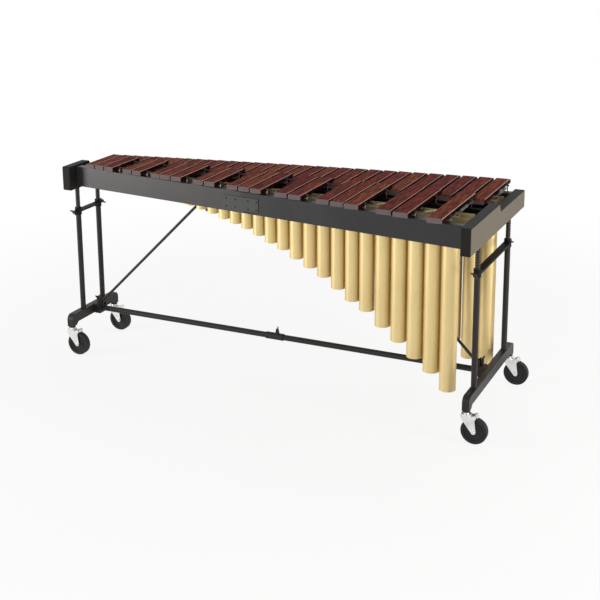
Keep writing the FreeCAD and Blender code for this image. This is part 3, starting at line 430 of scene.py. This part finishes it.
low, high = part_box("cord_springs")
raised_gap = Vector((low.x + SPRING_RADIUS, low.y + LINK_HALF + SPRING_LENGTH, high.z - SPRING_RADIUS))
natural_gap = Vector((high.x - SPRING_RADIUS, high.y - LINK_HALF - SPRING_LENGTH, low.z + SPRING_RADIUS))
wound = []
for gap in (raised_gap, natural_gap):
    for start in (LINK_HALF, -LINK_HALF - SPRING_LENGTH):
        bpy.ops.object.select_all(action="DESELECT")
        bpy.ops.mesh.primitive_circle_add(vertices=6, radius=WIRE_RADIUS, location=(0, 0, 0))
        spring = bpy.context.object
        bpy.ops.object.mode_set(mode="EDIT")
        bpy.ops.mesh.select_all(action="SELECT")
        bpy.ops.transform.translate(value=(SPRING_RADIUS - WIRE_RADIUS, WIRE_RADIUS, 0))
        bpy.ops.object.mode_set(mode="OBJECT")
        bpy.ops.object.modifier_add(type="SCREW")
        coil = spring.modifiers[-1]
        coil.axis = "Y"
        coil.screw_offset = (SPRING_LENGTH - 2 * WIRE_RADIUS) / TURNS
        coil.iterations = TURNS
        coil.steps = coil.render_steps = 12
        bpy.ops.object.modifier_apply(modifier=coil.name)
        bpy.ops.object.mode_set(mode="EDIT")
        bpy.ops.mesh.select_all(action="SELECT")
        bpy.ops.mesh.remove_doubles(threshold=0.00002)
        bpy.ops.mesh.fill_holes(sides=8)
        bpy.ops.mesh.normals_make_consistent(inside=False)
        bpy.ops.transform.translate(value=gap + Vector((0, start, 0)))
        bpy.ops.object.mode_set(mode="OBJECT")
        wound.append(spring)
    bpy.ops.object.select_all(action="DESELECT")
    bpy.ops.mesh.primitive_torus_add(location=(0, 0, 0), major_radius=0.0034, minor_radius=WIRE_RADIUS,
                                     major_segments=24, minor_segments=8)
    link = bpy.context.object
    bpy.ops.object.mode_set(mode="EDIT")
    bpy.ops.mesh.select_all(action="SELECT")
    bpy.ops.transform.resize(value=(0.8, 1.35, 1.0))
    bpy.ops.transform.translate(value=gap)
    bpy.ops.object.mode_set(mode="OBJECT")
    wound.append(link)
for piece in wound:
    piece.select_set(True)
bpy.context.view_layer.objects.active = wound[0]
bpy.ops.object.join()
springs = bpy.context.object
springs.name = "wound_cord_springs"
bpy.ops.object.shade_smooth()
springs.data.materials.clear()
springs.data.materials.append(powder_coat("blued spring wire", "#4a4a4c", 0.34, 0.5, 300.0))
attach(springs, "keyboard")
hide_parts("cord_springs")

# ---------------------------------------------------------------- bars
# Sawn and planed rosewood bars, oiled to a soft sheen: red-brown, with dark streaks 5 mm wide and 80 mm
# long, and pores 1 mm wide. No two bars are from the same part of the tree. The sawn ends are painted a
# mauve grey, the long sides dark as painted shade, and the rounded long edges pale as a painted highlight.

ROWS = {"natural": 0.0, "raised": 0.5}     # the raised bars stand half a spacing further on
BAR_GROUPS = ((-0.985, 0.0530, 10), (-0.455, 0.0597, 10), (0.142, 0.0674, 5), (0.479, 0.0742, 7))
for row, lag in ROWS.items():
    rosewood, tree, surface = finish(f"rosewood, {row} bars")
    place = add(tree, "ShaderNodeTexCoord").outputs["Object"]
    parts = add(tree, "ShaderNodeSeparateXYZ", {0: place})
    # A bar's number, from its place in the groups of equal spacing: (start, spacing, number of bars).
    number = None
    for start, spacing, count in BAR_GROUPS:
        step = add(tree, "ShaderNodeMapRange", {"Value": parts.outputs["X"], "From Min": start,
                                                "From Max": start + spacing * count, "To Max": count})
        if number:
            step = add(tree, "ShaderNodeMath", {0: number.outputs[0], 1: step.outputs[0]}, operation="ADD")
        number = step
    number = add(tree, "ShaderNodeMath", {0: number.outputs[0], 1: lag + 0.12}, operation="ADD")
    number = add(tree, "ShaderNodeMath", {0: number.outputs[0]}, operation="FLOOR")
    chance = add(tree, "ShaderNodeTexWhiteNoise", {"W": number.outputs[0]}, noise_dimensions="1D")
    shifted = add(tree, "ShaderNodeVectorMath", {0: chance.outputs["Color"], 1: (9.0, 5.0, 7.0)},
                  operation="MULTIPLY_ADD")
    tree.links.new(place, shifted.inputs[2])
    figure = add(tree, "ShaderNodeMapping", {"Vector": shifted.outputs[0], "Scale": (190.0, 12.0, 190.0)})
    pores = add(tree, "ShaderNodeMapping", {"Vector": shifted.outputs[0], "Scale": (900.0, 22.0, 900.0)})
    bands = add(tree, "ShaderNodeTexNoise", {"Vector": figure.outputs[0], "Scale": 1.0, "Detail": 6.0,
                                             "Roughness": 0.62, "Distortion": 0.6})
    specks = add(tree, "ShaderNodeTexNoise", {"Vector": pores.outputs[0], "Scale": 1.0, "Detail": 2.0})
    wood = add(tree, "ShaderNodeValToRGB", {0: bands.outputs[0]})
    wood.color_ramp.elements[0].position = 0.36
    wood.color_ramp.elements[0].color = paint("#33120e")
    wood.color_ramp.elements[1].position = 0.66
    wood.color_ramp.elements[1].color = paint("#a85139")
    middle = wood.color_ramp.elements.new(0.5)
    middle.color = paint("#6c2c22")
    dark = add(tree, "ShaderNodeMapRange", {"Value": specks.outputs[0], "From Min": 0.34, "From Max": 0.5,
                                            "To Min": 0.72, "To Max": 1.0})
    spotted = add(tree, "ShaderNodeMix", {0: 1.0, 6: wood.outputs[0], 7: dark.outputs[0]}, data_type="RGBA",
                  blend_type="MULTIPLY")
    warm = add(tree, "ShaderNodeMapRange", {"Value": chance.outputs["Value"], "To Min": 0.488,
                                            "To Max": 0.515})
    deep = add(tree, "ShaderNodeMapRange", {"Value": chance.outputs["Value"], "To Min": 0.78, "To Max": 1.25})
    tinted = add(tree, "ShaderNodeHueSaturation", {"Hue": warm.outputs[0], "Value": deep.outputs[0],
                                                   "Color": spotted.outputs[2]})
    # Sawn ends face along y, long sides along x, and the rounded long edges lie between.
    facing = add(tree, "ShaderNodeSeparateXYZ", {0: add(tree, "ShaderNodeNewGeometry").outputs["Normal"]})
    endwise = add(tree, "ShaderNodeMath", {0: facing.outputs["Y"]}, operation="ABSOLUTE")
    end_share = add(tree, "ShaderNodeMapRange", {"Value": endwise.outputs[0], "From Min": 0.6,
                                                 "From Max": 0.9})
    # The faces along y, the sawn ends, are painted a flat mauve grey with specks.
    end_face_grey = add(tree, "ShaderNodeMix", {0: specks.outputs[0], 6: paint("#584c4c"), 7: paint("#807373")},
                    data_type="RGBA")
    sideways = add(tree, "ShaderNodeMath", {0: facing.outputs["X"]}, operation="ABSOLUTE")
    # Painted shade: the long sides along x are painted dark red-brown, for the shade between neighbouring
    # bars.
    painted_shade_share = add(tree, "ShaderNodeMapRange", {"Value": sideways.outputs[0], "From Min": 0.93,
                                                  "From Max": 0.98})
    # Painted highlight: a pale pink line on the rounded long edges.
    painted_highlight_share = add(tree, "ShaderNodeMapRange", {"Value": sideways.outputs[0], "From Min": 0.40,
                                                  "From Max": 0.60, "To Max": 0.8})
    edge_highlit = add(tree, "ShaderNodeMix", {0: painted_highlight_share.outputs[0], 6: tinted.outputs[0], 7: paint("#e0bfb3")},
                data_type="RGBA")
    side_shaded = add(tree, "ShaderNodeMix", {0: painted_shade_share.outputs[0], 6: edge_highlit.outputs[2], 7: paint("#2b1411")},
                data_type="RGBA")
    whole = add(tree, "ShaderNodeMix", {0: end_share.outputs[0], 6: side_shaded.outputs[2],
                                        7: end_face_grey.outputs[2]}, data_type="RGBA")
    rough = add(tree, "ShaderNodeMapRange", {"Value": specks.outputs[0], "To Min": 0.42, "To Max": 0.58})
    surface.inputs["Specular IOR Level"].default_value = 0.01
    bump = add(tree, "ShaderNodeBump", {"Strength": 0.25, "Distance": 0.0003, "Height": specks.outputs[0]})
    tree.links.new(whole.outputs[2], surface.inputs["Base Color"])
    tree.links.new(rough.outputs[0], surface.inputs["Roughness"])
    tree.links.new(bump.outputs[0], surface.inputs["Normal"])
    cover(rosewood, *[f"{row}_bars_{group}" for group in ("high", "middle", "low")])
